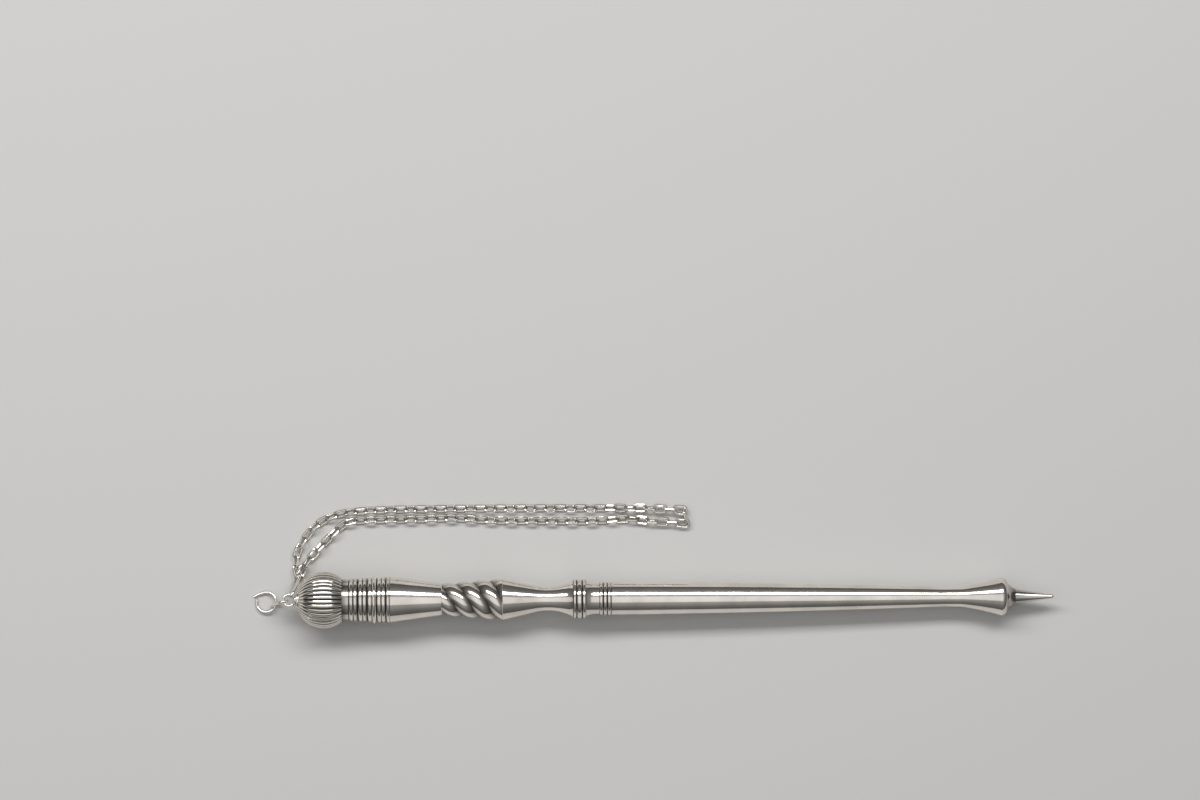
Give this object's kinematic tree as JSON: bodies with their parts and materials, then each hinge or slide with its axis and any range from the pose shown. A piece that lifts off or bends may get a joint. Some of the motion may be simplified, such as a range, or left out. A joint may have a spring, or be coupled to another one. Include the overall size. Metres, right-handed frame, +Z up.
{
  "type": "torah pointer",
  "caption": "Slim turned metal reading pointer with a fluted knob, rope-twist grip, long tapering shaft and fine finger; a hanging ring and a folded chain hang on the knob's eyelet",
  "frame": {"origin": "on the surface that the pointer lies on, under the middle of the pointer with its hanging ring, the chain left out", "axes": "+X along the pointer towards its finger tip, +Y to the side where the chain lies, +Z up"},
  "size_m": [0.2095, 0.0324, 0.0148],
  "materials": {
    "polished_silver": "mirror-polished silver or nickel plate",
    "silver_wire": "bright plated wire",
    "chain_silver": "bright plated wire links",
    "rod_steel": "plain steel, hidden inside"
  },
  "bodies": {
    "pointer": {"melon_knob": "polished_silver", "ribbed_collar": "polished_silver", "tapered_barrel": "polished_silver", "twisted_grip": "polished_silver", "waist_sleeve": "polished_silver", "beaded_collar": "polished_silver", "ring_ferrule": "polished_silver", "tapered_shaft": "polished_silver", "bud": "polished_silver", "finger": "polished_silver", "eye_seat": "polished_silver", "tie_rod": "rod_steel", "eyelet": "silver_wire"},
    "ring_link": {"ring_link": "silver_wire"},
    "hanging_ring": {"hanging_ring": "silver_wire"},
    "chain": {"gathering_link": "silver_wire", "chain_far_1": "chain_silver", "chain_far_2": "chain_silver", "chain_far_3": "chain_silver", "chain_far_4": "chain_silver", "chain_far_5": "chain_silver", "chain_far_6": "chain_silver", "chain_near_1": "chain_silver", "chain_near_2": "chain_silver", "chain_near_3": "chain_silver", "chain_near_4": "chain_silver", "chain_near_5": "chain_silver", "chain_near_6": "chain_silver", "fold_link": "chain_silver"}
  },
  "joints": [
    {"name": "ring_link_swing", "type": "hinge", "parent": "pointer", "child": "ring_link", "pos_m": [-0.09669, -0.00039, 0.00751], "axis": [-0.2588, 0.9659, 0], "range_deg": [-20, 110]},
    {"name": "hanging_ring_swing", "type": "hinge", "parent": "ring_link", "child": "hanging_ring", "pos_m": [-0.09902, -0.00101, 0.0013], "axis": [0.2588, 0.9659, 0], "range_deg": [-80, 90]},
    {"name": "chain_swing", "type": "hinge", "parent": "pointer", "child": "chain", "pos_m": [-0.09524, 0, 0.00751], "axis": [0, 0, 1], "range_deg": [0, 20]}
  ]
}
